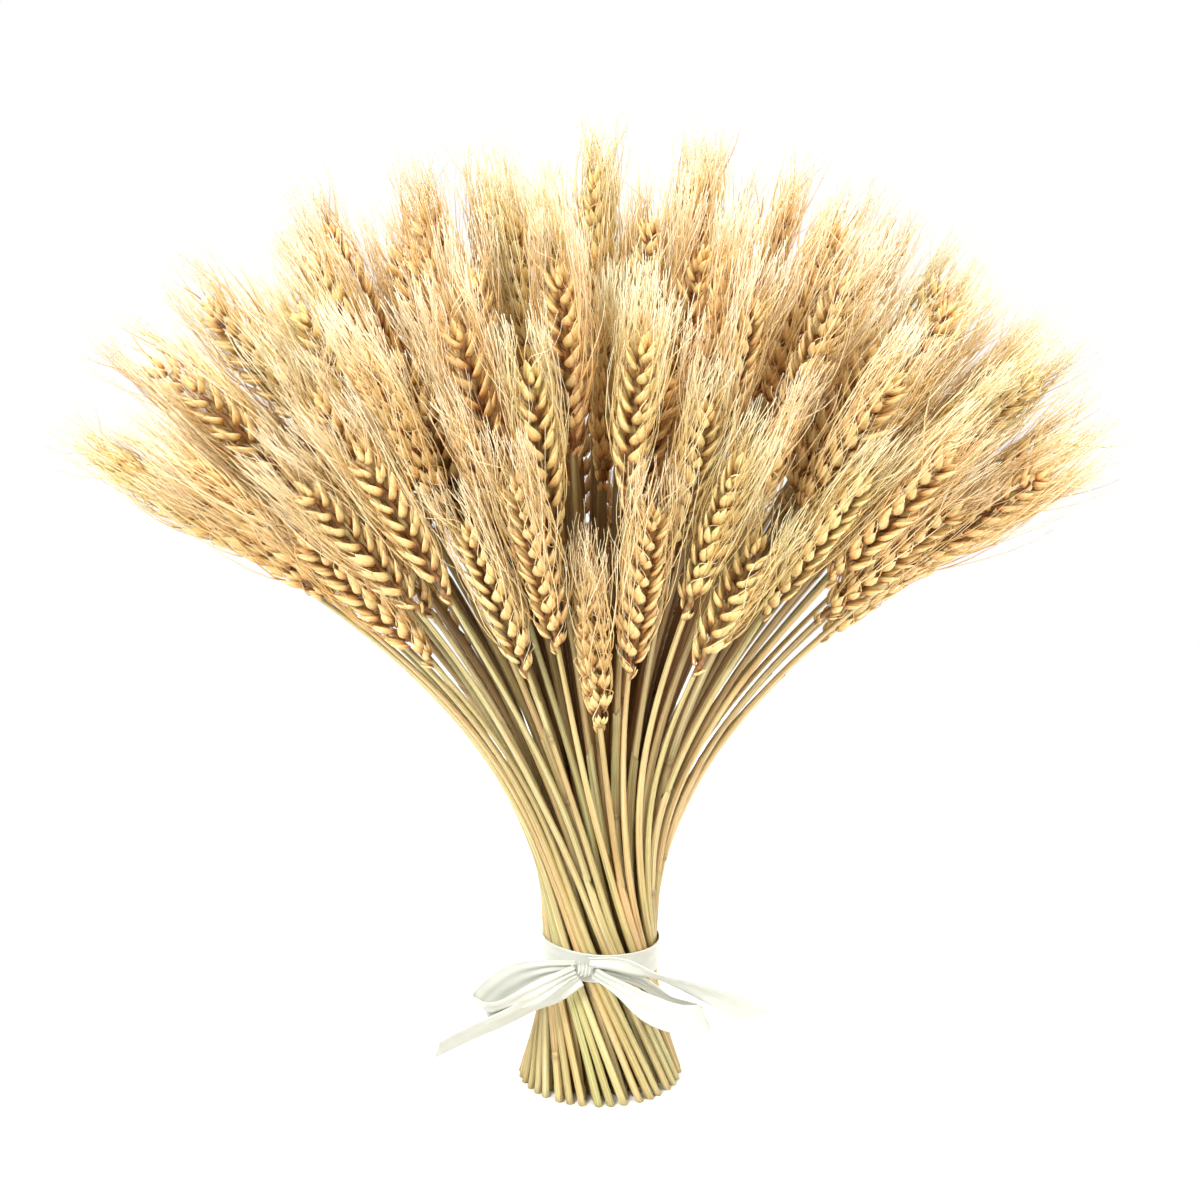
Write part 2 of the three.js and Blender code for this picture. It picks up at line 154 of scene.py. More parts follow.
class Stalk:
    """One stalk's numbers, and the line that it runs along."""

    def __init__(self, number, ring, place):
        count, group = RING_COUNTS[ring], GROUP_COUNTS[ring]
        share = ring / LAST_RING
        self.number, self.ring, self.count = number, ring, count
        self.radius = ring * RING_STEP
        lean = share + ((draw(number, 1) - 0.5) * SCATTER / LAST_RING if ring else 0)
        self.group_angle = (place // group + 0.5) * group * 2 * math.pi / count + ring * RING_TURN
        self.side = place % group - (group - 1) / 2
        self.stray = (draw(number, 3) - 0.5) * SCATTER * 2 * math.pi / count
        last = float(self.angle(FAR_UP))
        way = np.array([math.cos(last), FLATNESS * math.sin(last), 0])
        outer = mix(TIP_FRONT, TIP_SIDES, math.cos(last) ** 2)
        shorter = SHORTER * ((number * GOLDEN) % 1) ** SHORTER_POWER
        self.tip = mix(TIP_MIDDLE, outer, share**DOME_POWER) - shorter
        self.ear_length = mix(*EAR_LENGTH, draw(number, 2))
        self.ear_start = self.tip - self.ear_length
        self.lean = lean * np.linalg.norm(way)
        self.way = unit(way)
        self.random = rng.random(12)
        self.trace()
        _, _, out, around = self.at(self.ear_start)
        spin = math.atan2(around[0, 0], out[0, 0]) + (draw(number, 4) - 0.5) * 2 * MOST_SPIN
        self.spin = spin - math.pi * round(spin / math.pi)

    def angle(self, lengths):
        """The stalk's angle about the middle of the bunch."""
        lengths = np.asarray(lengths, float)
        turned = TWIST * TWIST_FADE * (1 - np.exp(-np.maximum(lengths, 0) / TWIST_FADE))
        angle = np.where(lengths < 0, np.arctan(TWIST * lengths), turned)
        if self.ring:
            opened = smooth(np.abs(lengths), 0, PARTING)
            step = mix(PRESSED / self.radius, 2 * math.pi / self.count, opened)
            angle = angle + self.group_angle + self.side * step + self.stray * opened
        return angle

    def trace(self):
        """The line, in steps of a millimetre, with the ways along it, out from the bunch and round it."""
        low = -TIE_HEIGHT - 2
        lengths = np.arange(low, self.tip + RUN_PAST + 2)
        above = np.maximum(lengths, 0)
        fan = FAN_ANGLE * (1 - np.exp(-((above / FAN_LENGTH) ** FAN_POWER))) * self.lean
        middle = (fan[1:] + fan[:-1]) / 2
        leant = np.concatenate([[0], np.cumsum(np.sin(middle) * np.diff(above))])
        height = np.concatenate([[0], np.cumsum(np.cos(middle) * np.diff(above))])
        height = height + TIE_HEIGHT + np.minimum(lengths, 0)
        radius = self.radius * np.where(lengths < 0, np.hypot(1, TWIST * lengths), 1)
        angle = self.angle(lengths)
        points = np.stack([radius * np.cos(angle), radius * np.sin(angle), height], 1)
        points = points + self.way * leant[:, None]
        self.lengths = lengths
        around = np.stack([-np.sin(angle), np.cos(angle), np.zeros_like(angle)], 1)
        points = points + self.crook(lengths, around)
        along = unit(np.gradient(points, axis=0))
        around = unit(around - along * dot(around, along))
        self.table = np.concatenate([points, along, np.cross(around, along), around], 1)

    def crook(self, lengths, around):
        """How far the line strays from its rule: a slow wobble, and an ear that nods to one side."""
        r = self.random
        out = np.cross(around, [0, 0, 1.0])
        free = smooth(lengths, *WOBBLE_FROM)[:, None]
        first = np.sin(lengths / 31 + ANY_PHASE * r[0]) * (0.4 + 0.6 * r[1])
        second = np.sin(lengths / 38 + ANY_PHASE * r[2]) * (0.4 + 0.6 * r[3])
        wobble = WOBBLE * free * (around * first[:, None] + out * second[:, None])
        past = np.maximum(lengths - self.ear_start + NOD_FROM, 0)
        nod = NOD * (past / (self.ear_length + NOD_FROM)) ** 2
        way = 2 * math.pi * r[4]
        turn = around * math.cos(way) + out * math.sin(way) * 0.7
        return wobble + np.minimum(nod, 1.4 * NOD)[:, None] * turn * (r[5] - 0.15)

    def depth(self, lengths):
        """How far within the bunch a place on the stalk lies, which sets its painted shade: 0 at its outside
        and 1 well within.
        """
        painted_inner_shade = smooth(1 - self.ring / LAST_RING, *INNER)
        return painted_inner_shade * smooth(TIP_MIDDLE - np.asarray(lengths), *BELOW_DOME)

    def at(self, lengths):
        """Points, and the ways along, out and round, at these lengths above the tie."""
        lengths = np.atleast_1d(np.asarray(lengths, float))
        k = np.clip(lengths - self.lengths[0], 0, len(self.lengths) - 1.001)
        low = k.astype(int)
        part = (k - low)[:, None]
        row = self.table[low] * (1 - part) + self.table[low + 1] * part
        return row[:, 0:3], unit(row[:, 3:6]), unit(row[:, 6:9]), unit(row[:, 9:12])


# ---- Meshes ----


class Mesh:
    """Points, faces and marks of one piece, gathered part by part."""

    def __init__(self):
        self.points, self.grain, self.mark, self.painted_shade = [], [], [], []
        self.faces, self.kinds = {3: [], 4: []}, {3: [], 4: []}
        self.total = 0

    def add(self, points, quads, tris, kind, grain, mark, painted_shade=0.0):
        """One part. The kind is its material's number; grain, mark and the painted shade are for each point.
        """
        points = points.reshape(-1, 3)
        for size, faces in ((4, quads), (3, tris)):
            if faces is not None and len(faces):
                self.faces[size].append(np.asarray(faces) + self.total)
                self.kinds[size].append(np.full(len(faces), kind))
        self.points.append(points)
        self.grain.append(grain.reshape(-1, 3))
        self.mark.append(mark.reshape(-1, 4))
        self.painted_shade.append(np.broadcast_to(painted_shade, (len(points),)))
        self.total += len(points)

    def object(self, name, materials):
        mesh = bpy.data.meshes.new(name)
        points = np.concatenate(self.points).astype(np.float32) * MM
        loops, starts, kinds, at = [], [], [], 0
        for size in (4, 3):
            if self.faces[size]:
                faces = np.concatenate(self.faces[size])
                loops.append(faces.ravel())
                starts.append(at + np.arange(len(faces)) * size)
                kinds.append(np.concatenate(self.kinds[size]))
                at += faces.size
        loops, starts, kinds = (np.concatenate(x).astype(np.int32) for x in (loops, starts, kinds))
        mesh.vertices.add(len(points))
        mesh.vertices.foreach_set("co", points.ravel())
        mesh.loops.add(len(loops))
        mesh.loops.foreach_set("vertex_index", loops)
        mesh.polygons.add(len(starts))
        mesh.polygons.foreach_set("loop_start", starts)
        mesh.polygons.foreach_set("material_index", kinds)
        mesh.polygons.foreach_set("use_smooth", np.ones(len(starts), bool))
        for title, kind, field, values in (
            ("grain", "FLOAT_VECTOR", "vector", self.grain),
            ("mark", "FLOAT_COLOR", "color", self.mark),
            # the last is painted shade, darker far within the bunch
            ("painted_shade", "FLOAT", "value", self.painted_shade),
        ):
            data = mesh.attributes.new(title, kind, "POINT").data
            data.foreach_set(field, np.concatenate(values).astype(np.float32).ravel())
        for material in materials:
            mesh.materials.append(material)
        mesh.update(calc_edges=True)
        made = bpy.data.objects.new(name, mesh)
        bpy.context.scene.collection.objects.link(made)
        return made


def strip_faces(rows, sides):
    """Quads between rows of points that go round."""
    k = np.arange(rows - 1)[:, None] * sides
    a = np.arange(sides)[None, :]
    b = (a + 1) % sides
    return np.stack([k + a, k + b, k + sides + b, k + sides + a], 2).reshape(-1, 4)


def end_caps(rows, sides):
    """Triangles that close both ends of such rows."""
    cap = np.array([[0, k + 1, k + 2] for k in range(sides - 2)])
    return np.concatenate([cap[:, ::-1], cap + (rows - 1) * sides])


def fan_faces(ring, centre, turned):
    """Triangles from a ring's points to one point."""
    b = np.roll(ring, -1)
    c = np.full(len(ring), centre)
    return np.stack([b, ring, c] if turned else [ring, b, c], 1)


def rings_round(point, out, around, radius, sides):
    """A ring of points round each point of a line."""
    turns = turns_of(sides)
    cos, sin = np.cos(turns)[None, :, None], np.sin(turns)[None, :, None]
    return point[:, None] + (out[:, None] * cos + around[:, None] * sin) * radius[:, None, None]


def marks(shape, along, second, own, stalk):
    """What the materials read: share along the part, brown or edge, the part's draw, the stalk's."""
    mark = np.empty((*shape, 4))
    for k, value in enumerate((along, second, own, stalk)):
        mark[..., k] = value
    return mark


# ---- Stems ----


def stem_radius(stalk, lengths):
    r = stalk.random
    share = smooth(lengths, TAPER_FROM, stalk.ear_start)
    base = mix(*STEM_RADIUS, r[6])
    fuller = 1 + INNER_FULLER * smooth(1 - stalk.ring / LAST_RING, *INNER)
    return mix(base, mix(*NECK_RADIUS, r[7]) * fuller, share)


def joint_place(stalk):
    """The length at which the straw has its joint, where the cut length has one."""
    r = stalk.random[8]
    if r < JOINTED:
        return mix(*JOINT_ABOVE, r / JOINTED)
    if r < FOOT_JOINTED:
        return mix(*JOINT_BELOW, (r - JOINTED) / (FOOT_JOINTED - JOINTED))
    return None


def add_stem(mesh, stalk):
    joint = joint_place(stalk)
    rows = np.append(np.arange(-TIE_HEIGHT + 3, stalk.ear_start, STEM_STEP), stalk.ear_start)
    swollen = np.zeros(len(rows))
    if joint is not None:
        bulge = joint + JOINT_SIZE * np.arange(-2, 3)
        rows = np.sort(np.concatenate([rows[np.abs(rows - joint) > 4], bulge]))
        swollen = np.exp(-(((rows - joint) / JOINT_SIZE) ** 2))
        add_sheath(mesh, stalk, joint)
    add_straw(mesh, stalk, rows, stem_radius(stalk, rows) * (1 + JOINT_SWELL * swollen), swollen)


def add_straw(mesh, stalk, rows, radius, brown):
    """A tube with a hollow in its cut end."""
    point, along, out, around = stalk.at(rows)
    turns = turns_of(STEM_SIDES)
    rings = rings_round(point, out, around, radius, STEM_SIDES)
    foot = rings[0] - along[0] * (rings[0][:, 2:3] / along[0][2])
    foot[:, 2] = 0
    middle = foot.mean(0)
    lip = middle + (foot - middle) * HOLLOW
    bottom = lip + along[0] * HOLLOW_DEPTH
    rings = np.concatenate([bottom[None], lip[None], foot[None], rings])
    lengths = np.concatenate([[-TIE_HEIGHT + HOLLOW_DEPTH, -TIE_HEIGHT, -TIE_HEIGHT], rows])
    radii = np.concatenate([[HOLLOW, HOLLOW, 1], np.ones(len(rows))]) * radius.max()
    grain = np.empty(rings.shape)
    grain[..., 0] = np.cos(turns)[None] * radii[:, None]
    grain[..., 1] = np.sin(turns)[None] * radii[:, None]
    grain[..., 2] = lengths[:, None] + STRAW_GRAIN * stalk.random[9]
    share = ((lengths + TIE_HEIGHT) / (stalk.ear_start + TIE_HEIGHT))[:, None]
    brown = np.concatenate([[1.0, 0.3, 0.0], brown])[:, None]
    mark = marks(rings.shape[:2], share, brown, stalk.random[10], stalk.random[11])
    first = np.arange(STEM_SIDES)
    last = first + (len(rings) - 1) * STEM_SIDES
    total = len(rings) * STEM_SIDES
    ends = np.stack([rings[0].mean(0), rings[-1].mean(0)])
    mesh.add(
        np.concatenate([rings.reshape(-1, 3), ends]),
        strip_faces(len(rings), STEM_SIDES),
        np.concatenate([fan_faces(first, total, True), fan_faces(last, total + 1, False)]),
        0,
        np.concatenate([grain.reshape(-1, 3), grain[0, :1], grain[-1, :1]]),
        np.concatenate([mark.reshape(-1, 4), mark[0, :1], mark[-1, :1]]),
        # painted shade, for how far within the bunch each ring lies
        np.append(np.repeat(stalk.depth(lengths), STEM_SIDES), [0, 0]),
    )


def add_sheath(mesh, stalk, joint):
    """The leaf's dry sheath, which wraps the straw above the joint and ends in a slanted, torn edge."""
    r = stalk.random
    end = min(joint + mix(*SHEATH_LENGTH, r[0]), stalk.ear_start - 12)
    rows = np.arange(joint + 1.2, end, SHEATH_STEP)
    if len(rows) < 3:
        return
    turns = turns_of(STEM_SIDES)
    slant = 3.2 * np.cos(turns - ANY_PHASE * r[1]) + rng.normal(0, 0.8, STEM_SIDES)
    rows = np.concatenate([rows, [end, end + 0.05]])
    grid = np.repeat(rows[:, None], STEM_SIDES, 1)
    grid[-2:] += slant
    point, along, out, around = (x.reshape(*grid.shape, 3) for x in stalk.at(grid.ravel()))
    radius = stem_radius(stalk, grid) + SHEATH_OVER
    radius[0] = stem_radius(stalk, grid[0]) + 0.02
    radius[-1] -= 0.2
    cos, sin = np.cos(turns)[None], np.sin(turns)[None]
    rings = point + (out * cos[..., None] + around * sin[..., None]) * radius[..., None]
    grain = np.stack([cos * radius, sin * radius, grid + PART_GRAIN * r[2]], 2)
    share = (grid + TIE_HEIGHT) / (stalk.ear_start + TIE_HEIGHT)
    mark = marks(grid.shape, share, 0.0, r[3], (r[11] * 0.5 + 0.5 * r[2]) % 1)
    mark[-2:, :, 1] = SHEATH_BROWN
    faces, caps = strip_faces(*grid.shape), end_caps(*grid.shape)
    # the last is painted shade, for how far within the bunch it lies
    mesh.add(rings, faces, caps, 0, grain, mark, stalk.depth(grid.ravel()))


# ---- Ears ----


def husk_shape():
    """A husk of unit size: blunt at its base, with a keel along its back, drawn out to a point."""
    turns = turns_of(HUSK_SIDES)
    rings = []
    for s in HUSK_RINGS:
        full = (s / 0.34) ** 0.6 * ((1 - s) / 0.66) ** 1.16
        keel = 1 + 0.16 * np.maximum(np.sin(turns), 0) ** 6
        flat = np.where(np.sin(turns) < -0.1, 0.72, 1.0)
        x = np.cos(turns) * full / 2
        y = np.sin(turns) * full / 2 * keel * flat
        rings.append(np.stack([x, y, np.full(HUSK_SIDES, s)], 1))
    points = np.concatenate([[[0, 0, 0.0]], *rings, [[0, 0, 1.0]]])
    quads = strip_faces(len(HUSK_RINGS), HUSK_SIDES) + 1
    first = np.arange(HUSK_SIDES) + 1
    last = first + (len(HUSK_RINGS) - 1) * HUSK_SIDES
    caps = [fan_faces(first, 0, True), fan_faces(last, len(points) - 1, False)]
    return points, quads, np.concatenate(caps)


HUSK = husk_shape()
# A spikelet's husks, two glumes and then four lemmas. The columns are the fan angle, the turn of the
# back, the place (out, aside and risen), the size (length, width and depth), the tilt, and if awned
FAN, BACK, PLACE, SIZE, TILT, AWNED = 0, 1, slice(2, 5), slice(5, 8), 8, 9
SPIKELET = np.array(
    [
        [24, 66, 1.1, 1.9, 0.0, 9.6, 4.3, 2.2, 18, 0],
        [-24, -66, 1.1, -1.9, 0.0, 9.6, 4.3, 2.2, 18, 0],
        [16, 40, 1.9, 1.3, 1.2, 11.6, 4.3, 2.9, 22, 1],
        [-16, -40, 1.9, -1.3, 1.2, 11.6, 4.3, 2.9, 22, 1],
        [6, 16, 2.7, 0.6, 2.8, 10.8, 3.7, 2.6, 26, 1],
        [-7, -20, 2.6, -0.6, 4.0, 10.2, 3.5, 2.5, 22, 1],
    ]
)


def ear_rows(stalk):
    """Heights, sides and sizes of an ear's spikelets, from its stunted first ones to the last."""
    start = stalk.ear_start
    count = int((stalk.ear_length - 9) / PITCH)
    heights = start + EAR_FOOT + np.arange(count) * PITCH * (stalk.ear_length - 13) / (count * PITCH)
    t = np.arange(count) / (count - 1)
    sizes = 0.76 + 0.3 * np.sin(math.pi * np.clip(t * 0.82 + 0.12, 0, 1))
    sides = np.where(np.arange(count) % 2, 1.0, -1.0)
    early = start + np.array([-3.0, 1.2])
    return (
        np.concatenate([early, heights]),
        np.concatenate([[1.0, -1.0] if count % 2 else [-1.0, 1.0], sides]),
        np.concatenate([[0.42, 0.58], sizes]),
    )


def add_ear(mesh, stalk):
    heights, sides, sizes = ear_rows(stalk)
    count, parts = len(heights), len(SPIKELET)
    point, along, out, around = stalk.at(heights)
    turn = stalk.spin + (math.pi / 2 if draw(stalk.number, 6) < FACE_ON else 0)
    file = (out * math.cos(turn) + around * math.sin(turn)) * sides[:, None]
    across = np.cross(along, file)
    openness = 0.75 + 0.6 * draw(stalk.number, 5)
    table = np.repeat(SPIKELET[None], count, 0)
    table[..., FAN] = table[..., FAN] * openness + rng.normal(0, 4, (count, parts))
    table[..., BACK] += rng.normal(0, 6, (count, parts))
    table[..., SIZE] *= sizes[:, None, None] * rng.normal(1, 0.06, (count, parts, 1))
    table[..., PLACE] *= sizes[:, None, None]
    table[..., TILT] = table[..., TILT] * openness + rng.normal(0, 3.5, (count, parts))
    fan, back, tilt = (np.radians(table[..., k])[..., None] for k in (FAN, BACK, TILT))
    a, f, x = along[:, None], file[:, None], across[:, None]
    way = unit((a * np.cos(fan) + x * np.sin(fan)) * np.cos(tilt) + f * np.sin(tilt))
    face = f * np.cos(back) + x * np.sin(back)
    face = unit(face - way * dot(face, way))
    place, size = table[..., PLACE], table[..., SIZE]
    base = point[:, None] + f * place[..., 0:1] + x * place[..., 1:2] + a * place[..., 2:3]
    add_husks(mesh, stalk, base, face, way, size, np.repeat(heights, parts))
    tips = base + way * size[..., 0:1] * HUSK_TIP
    lemmas = table[..., AWNED] > 0
    awned = lemmas & (sizes[:, None] > 0.7)
    risen = ((heights - stalk.ear_start) / stalk.ear_length)[:, None]

    def bristles(chosen, sunk=0.0, short=False):
        height = np.broadcast_to(heights[:, None], chosen.shape)[chosen]
        ways = [np.broadcast_to(v[:, None], (*chosen.shape, 3))[chosen] for v in (file, across)]
        roots = tips[chosen] - way[chosen] * sunk
        add_awns(mesh, stalk, roots, way[chosen], height, *ways, short=short)

    bristles(awned)
    bristles(awned & (rng.random(awned.shape) < INNER_AWNS * (0.6 + 0.6 * risen)), sunk=INNER_ROOT)
    bristles(~lemmas & (sizes[:, None] > 0.5), short=True)
    add_rachis(mesh, stalk, heights, file)
    add_end(mesh, stalk)


def add_husks(mesh, stalk, base, face, way, sizes, heights):
    """Copies of the husk, each bowed outwards and set with its own length, width and depth."""
    shape, quads, tris = HUSK
    wide = np.cross(face, way)
    base, wide, face, way = (v.reshape(-1, 1, 3) for v in (base, wide, face, way))
    sizes = sizes.reshape(-1, 3)
    n, v = len(sizes), len(shape)
    s = shape[None, :, 2:3]
    length, width, depth = (sizes[:, k].reshape(-1, 1, 1) for k in range(3))
    bow = length * (0.2 * s * (1 - s) + rng.normal(0.0, 0.03, (n, 1, 1)) * s * s)
    points = base + wide * shape[None, :, 0:1] * width + face * (shape[None, :, 1:2] * depth + bow)
    points = points + way * s * length
    grain = np.broadcast_to(shape, (n, v, 3)) * sizes[:, None, [1, 2, 0]]
    grain = grain + np.array([0, 0, 1.0]) * rng.random((n, 1, 1)) * PART_GRAIN
    x, y = np.abs(shape[:, 0]), np.abs(shape[:, 1])
    mark = marks((n, v), shape[:, 2], x / (x + y + 1e-6), rng.random((n, 1)), stalk.random[11])
    step = (np.arange(n) * v)[:, None, None]
    quads, tris = (quads[None] + step).reshape(-1, 4), (tris[None] + step).reshape(-1, 3)
    # the last is painted shade, for how far within the bunch each husk lies
    mesh.add(points, quads, tris, 1, grain, mark, np.repeat(stalk.depth(heights), v))


def add_awns(mesh, stalk, root, way, height, file, across, short=False):
    """Bristles that leave the husks' tips and bend to run along the ear."""
    n = len(root)
    share, shorter = SHORT_AWNS
    wanted = rng.uniform(*AWN_LENGTH, n) * np.where(rng.random(n) < share, shorter, 1)
    end = np.minimum(height + 8 + wanted, stalk.tip + AWN_BEYOND * rng.uniform(0.5, 1.1, n))
    end = np.maximum(end, height + 18)
    reach = rng.uniform(*REACH, n)
    reach = reach + np.where(rng.random(n) < STRAYING, rng.uniform(*STRAY_REACH, n), 0)
    aside = rng.normal(0, ASIDE_SPREAD, (n, 1))
    if short:
        end = height + rng.uniform(12, 17, n)
        reach = rng.uniform(5, 8, n)
        aside = aside * 0.3
    point, along, _, _ = stalk.at(end)
    tip = point + file * reach[:, None] + across * aside
    tip[:, 2] = np.minimum(tip[:, 2], HIGHEST)
    tip[:, 1] = np.clip(tip[:, 1], -DEEPEST, DEEPEST)
    length = np.linalg.norm(tip - root, axis=1)[:, None]
    last = along + file * rng.normal(0.04, TURN_SPREAD, (n, 1))
    last = unit(last + across * rng.normal(0, TURN_SPREAD, (n, 1)))
    u = AWN_STEPS[None, :, None]
    p0, p1 = root[:, None], (root + way * length * 0.3)[:, None]
    p2, p3 = (tip - last * length * 0.33)[:, None], tip[:, None]
    line = p0 * (1 - u) ** 3 + 3 * p1 * u * (1 - u) ** 2 + 3 * p2 * u * u * (1 - u) + p3 * u**3
    ahead = unit(np.gradient(line, axis=1))
    side = unit(np.cross(ahead, file[:, None]))
    up = np.cross(side, ahead)
    turns = turns_of(AWN_SIDES)
    thick = mix(*AWN_RADIUS, u)[..., None] * rng.uniform(0.75, 1.4, (n, 1, 1, 1))
    cos, sin = np.cos(turns)[None, None, :, None], np.sin(turns)[None, None, :, None]
    rings = line[:, :, None] + (side[:, :, None] * cos + up[:, :, None] * sin) * thick
    steps = len(AWN_STEPS)
    v = steps * AWN_SIDES
    grain = np.zeros((n, steps, AWN_SIDES, 3))
    grain[..., 2] = (AWN_STEPS[None] * length + rng.random((n, 1)) * PART_GRAIN)[..., None]
    mark = marks(grain.shape[:3], u, 0, rng.random((n, 1, 1)), stalk.random[11])
    step = (np.arange(n) * v)[:, None, None]
    faces = (strip_faces(steps, AWN_SIDES)[None, :, ::-1] + step).reshape(-1, 4)
    ends = (np.array([[0, 1, 2], [v - 1, v - 2, v - 3]])[None] + step).reshape(-1, 3)
    # painted shade, for how far within the bunch each part of an awn lies
    reached = height[:, None] + AWN_STEPS[None] * (end - height)[:, None]
    painted_shade = np.repeat(stalk.depth(reached.ravel()), AWN_SIDES)
    mesh.add(rings, faces, ends, 2, grain, mark, painted_shade)


def add_rachis(mesh, stalk, heights, file):
    """The ear's own stem, which bends from each spikelet to the next."""
    rows = np.concatenate([[stalk.ear_start - 4], heights[1:]])
    sideways = np.concatenate([np.zeros((1, 3)), file[1:] * -0.55])
    point, _, out, around = stalk.at(rows)
    radius = np.where(np.arange(len(rows)) == 1, 1.5, 1.05)
    rings = rings_round(point + sideways, out, around, radius, RACHIS_SIDES)
    grain = np.zeros(rings.shape)
    grain[..., 2] = rows[:, None]
    shape = rings.shape[:2]
    # its mark along of 0.1 paints it the dark brown shade of the husks' bases
    mark = marks(shape, 0.1, 0.0, 0.4, stalk.random[11])
    # painted shade, for how far within the bunch it lies
    painted_shade = np.repeat(stalk.depth(rows), RACHIS_SIDES)
    mesh.add(rings, strip_faces(*shape), end_caps(*shape), 1, grain, mark, painted_shade)


def add_end(mesh, stalk):
    """The last spikelet, which stands on the ear's end, across the files."""
    point, along, out, around = stalk.at([stalk.tip - 9.5])
    c, s = math.cos(stalk.spin + math.pi / 2), math.sin(stalk.spin + math.pi / 2)
    side = out * c + around * s
    front = np.cross(along, side)
    tilts = np.radians([22, -22, 9, -9])[:, None]
    ways = unit(along * np.cos(tilts) + side * np.sin(tilts))
    faces = unit(side * np.sign(tilts) + front * 0.3)
    faces = unit(faces - ways * dot(faces, ways))
    aside, risen = np.array([[1.0, -1.0, 0.7, -0.7], [0, 0, 1.4, 1.4]])[..., None]
    base = point + side * aside + along * risen
    sizes = np.array([[7.4, 3.2, 2.2], [7.4, 3.2, 2.2], [8.4, 3.3, 2.6], [8.4, 3.3, 2.6]])
    height = np.full(4, stalk.tip - 6)
    add_husks(mesh, stalk, base, faces, ways, sizes, height)
    tips = base + ways * sizes[:, :1] * HUSK_TIP
    add_awns(mesh, stalk, tips, ways, height, faces, np.cross(ways, faces))


# ---- Materials ----


def rgb(code):
    """A colour written as it is seen, as the four linear numbers of a shader."""
    parts = [(code >> k & 255) / 255 for k in (16, 8, 0)]
    return (*[p / 12.92 if p <= 0.04045 else ((p + 0.055) / 1.055) ** 2.4 for p in parts], 1.0)


class Graph:
    """A material's nodes."""

    def __init__(self, name):
        self.material = bpy.data.materials.new(name)
        self.material.use_nodes = True
        self.tree = self.material.node_tree
        self.shader = self.tree.nodes["Principled BSDF"]

    def node(self, kind, inputs=(), **settings):
        made = self.tree.nodes.new(kind)
        for key, value in settings.items():
            setattr(made, key, value)
        for key, value in dict(inputs).items():
            self.feed(made.inputs[key], value)
        return made

    def feed(self, socket, value):
        if isinstance(value, bpy.types.NodeSocket):
            self.tree.links.new(value, socket)
        else:
            socket.default_value = value

    def set(self, **inputs):
        for key, value in inputs.items():
            self.feed(self.shader.inputs[key.replace("_", " ")], value)

    def attribute(self, name):
        return self.node("ShaderNodeAttribute", attribute_name=name)

    def ramp(self, value, stops, mode="LINEAR"):
        made = self.node("ShaderNodeValToRGB", {0: value})
        made.color_ramp.interpolation = mode
        elements = made.color_ramp.elements
        while len(elements) < len(stops):
            elements.new(0.5)
        for element, (place, colour) in zip(elements, stops):
            element.position = place
            element.color = rgb(colour) if isinstance(colour, int) else (colour, colour, colour, 1)
        return made.outputs[0]

    def mixed(self, a, b, factor, blend="MIX"):
        made = self.node("ShaderNodeMix", data_type="RGBA", blend_type=blend)
        for key, value in ((0, factor), (6, a), (7, b)):
            self.feed(made.inputs[key], value)
        return made.outputs[2]

    def times(self, a, b):
        return self.node("ShaderNodeMath", {0: a, 1: b}, operation="MULTIPLY").outputs[0]

    def noise(self, vector, scale, detail=2.0, rough=0.5, by=None):
        """Noise of so many waves to a unit, or, with by, of other numbers of them each way."""
        if by:
            vector = self.node("ShaderNodeVectorMath", {0: vector, 1: by}, operation="MULTIPLY").outputs[0]
        inputs = {"Vector": vector, "Scale": scale, "Detail": detail, "Roughness": rough}
        return self.node("ShaderNodeTexNoise", inputs).outputs[0]

    def bump(self, height, strength, distance):
        inputs = {"Height": height, "Strength": strength, "Distance": distance}
        return self.node("ShaderNodeBump", inputs).outputs[0]

    def split(self, colour):
        return self.node("ShaderNodeSeparateColor", {0: colour}).outputs


